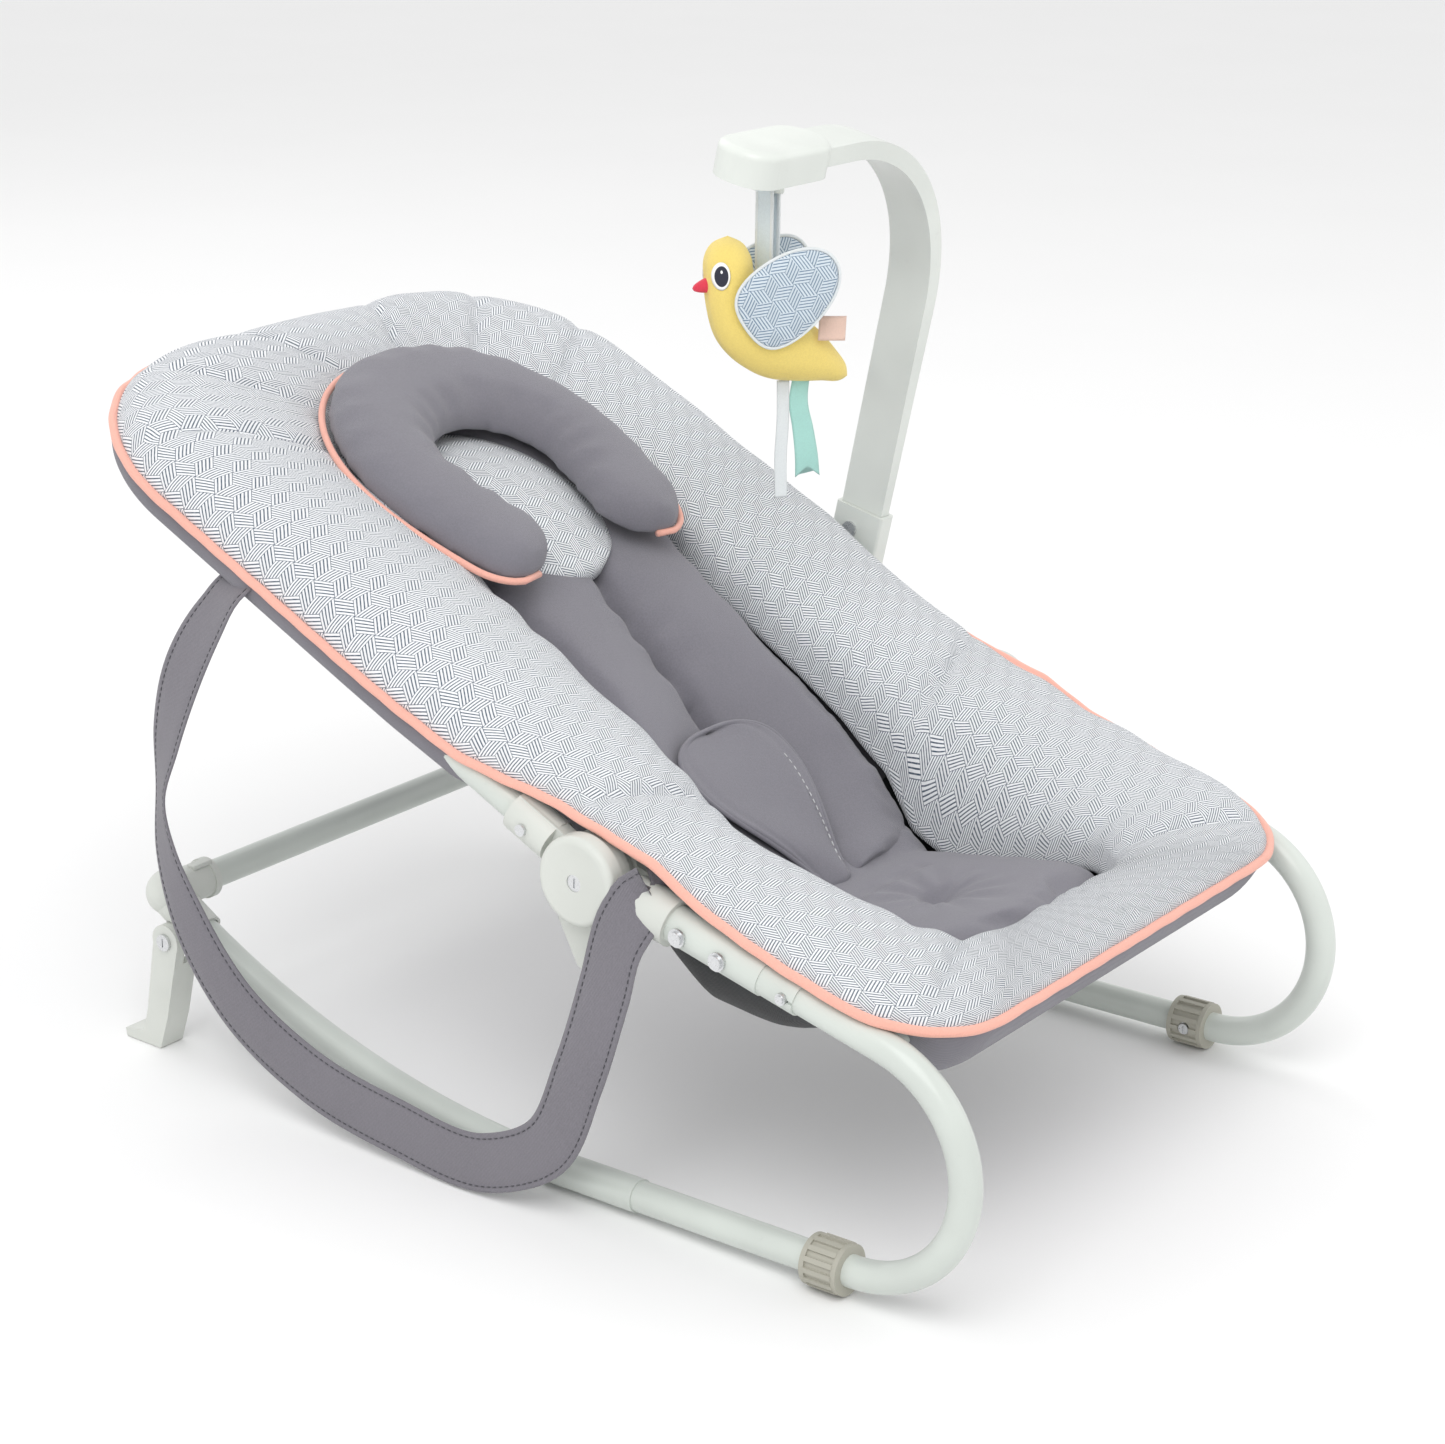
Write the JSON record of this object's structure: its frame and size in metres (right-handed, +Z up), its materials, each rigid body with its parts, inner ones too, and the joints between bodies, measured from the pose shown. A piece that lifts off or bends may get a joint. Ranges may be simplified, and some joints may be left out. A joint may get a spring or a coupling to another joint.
{
  "type": "baby bouncer seat",
  "caption": "Reclining baby bouncer on a rocking tube frame, with padded collar seat, swing-down stop feet, carry straps and a swing-out toy arch with a hanging bird.",
  "frame": {"origin": "on the floor, under the middle of the whole seat", "axes": "+Z up; -Y is the foot end, +Y the head end; +X is the baby's left, the side that carries the toy arch"},
  "size_m": [0.4703, 0.7099, 0.5975],
  "materials": {
    "frame_paint": "satin powder coat",
    "frame_plastic": "fine satin moulding",
    "ring_rubber": "matt ribbed",
    "bright_steel": "zinc plated",
    "collar_print": "white cotton with fine slate block print",
    "grey_cloth": "grey brushed polyester",
    "black_cloth": "black non-woven lining",
    "strap_webbing": "grey folded cloth strap, edge stitched",
    "coral_piping": "coral bias piping",
    "arch_plastic": "smooth satin moulding",
    "toy_ribbon": "pale folded ribbon",
    "toy_yellow": "yellow cotton",
    "toy_print": "blue-grey block print",
    "toy_red": "red felt",
    "toy_tag": "peach woven label, blank",
    "mint_ribbon": "mint satin ribbon",
    "white_ribbon": "white cotton tape"
  },
  "bodies": {
    "base": {"front_tube_left": "frame_paint", "front_tube_right": "frame_paint", "runner_tube_left": "frame_paint", "runner_tube_right": "frame_paint", "rear_cross_tube": "frame_paint", "corner_fitting_left": "frame_plastic", "corner_fitting_right": "frame_plastic", "foot_pins": "bright_steel", "floor_ring_left": "ring_rubber", "floor_ring_right": "ring_rubber", "ring_screws": "bright_steel", "seat_rail_left": "frame_paint", "seat_rail_right": "frame_paint", "rail_bolts": "bright_steel", "seat_hub_left": "frame_plastic", "seat_hub_right": "frame_plastic", "hub_cap_left": "frame_plastic", "hub_cap_right": "frame_plastic", "hub_pins": "bright_steel", "hub_screws": "bright_steel", "front_bar": "frame_paint", "seat_bolster_left": "collar_print", "seat_bolster_right": "collar_print", "front_bolster": "collar_print", "seat_pad": "grey_cloth", "seat_sling": "grey_cloth", "hip_sling": "black_cloth", "seat_piping": "coral_piping", "carry_strap_left": "strap_webbing", "carry_strap_right": "strap_webbing"},
    "back": {"back_hub_left": "frame_plastic", "back_hub_right": "frame_plastic", "back_tube": "frame_paint", "socket_rivets": "bright_steel", "back_bolster_left": "collar_print", "back_bolster_right": "collar_print", "head_bolster": "collar_print", "back_pad": "grey_cloth", "back_sling": "grey_cloth", "head_pillow": "grey_cloth", "pillow_panel": "collar_print", "back_piping": "coral_piping", "crotch_flap": "grey_cloth"},
    "toy_arch": {"arch_socket": "arch_plastic", "arch_arm": "arch_plastic", "arch_screw": "bright_steel", "toy_hook": "arch_plastic"},
    "toy": {"toy_ribbon": "toy_ribbon", "bird_body": "toy_yellow", "bird_wings": "toy_print", "bird_beak": "toy_red", "toy_tag": "toy_tag", "mint_ribbon": "mint_ribbon", "white_ribbon": "white_ribbon"},
    "foot_left": {"stop_foot_left": "frame_plastic"},
    "foot_right": {"stop_foot_right": "frame_plastic"},
    "lever_left": {"recline_lever_left": "frame_plastic"},
    "lever_right": {"recline_lever_right": "frame_plastic"},
    "button_left": {"snap_button_left": "bright_steel"},
    "button_right": {"snap_button_right": "bright_steel"}
  },
  "joints": [
    {"name": "back_recline", "type": "hinge", "parent": "base", "child": "back", "pos_m": [0, -0.0855, 0.20795], "axis": [1, 0, 0], "range_deg": [-10, 20]},
    {"name": "arch_swing", "type": "hinge", "parent": "back", "child": "toy_arch", "pos_m": [0.207, 0.03996, 0.26779], "axis": [0, 0.9026, 0.4305], "range_deg": [0, 80]},
    {"name": "toy_swing", "type": "hinge", "parent": "toy_arch", "child": "toy", "pos_m": [0.033, -0.02478, 0.56337], "axis": [0, 1, 0], "range_deg": [-35, 35]},
    {"name": "foot_swing_left", "type": "hinge", "parent": "base", "child": "foot_left", "pos_m": [0.222, 0.2585, 0.078], "axis": [1, 0, 0], "range_deg": [0, 72]},
    {"name": "foot_swing_right", "type": "hinge", "parent": "base", "child": "foot_right", "pos_m": [-0.222, 0.2585, 0.078], "axis": [1, 0, 0], "range_deg": [0, 72]},
    {"name": "recline_lever_left_pull", "type": "hinge", "parent": "base", "child": "lever_left", "pos_m": [0.2, -0.0855, 0.20795], "axis": [1, 0, 0], "range_deg": [0, 10], "stiffness_Nm_per_rad": 1.2, "springref_deg": -2.86},
    {"name": "recline_lever_right_pull", "type": "hinge", "parent": "base", "child": "lever_right", "pos_m": [-0.2, -0.0855, 0.20795], "axis": [1, 0, 0], "range_deg": [0, 10], "stiffness_Nm_per_rad": 1.2, "springref_deg": -2.86},
    {"name": "snap_button_left_press", "type": "slide", "parent": "base", "child": "button_left", "axis": [-1, 0, 0], "range_m": [0, 0.0035], "stiffness_N_per_m": 900, "springref_m": -0.001},
    {"name": "snap_button_right_press", "type": "slide", "parent": "base", "child": "button_right", "axis": [1, 0, 0], "range_m": [0, 0.0035], "stiffness_N_per_m": 900, "springref_m": -0.001}
  ]
}
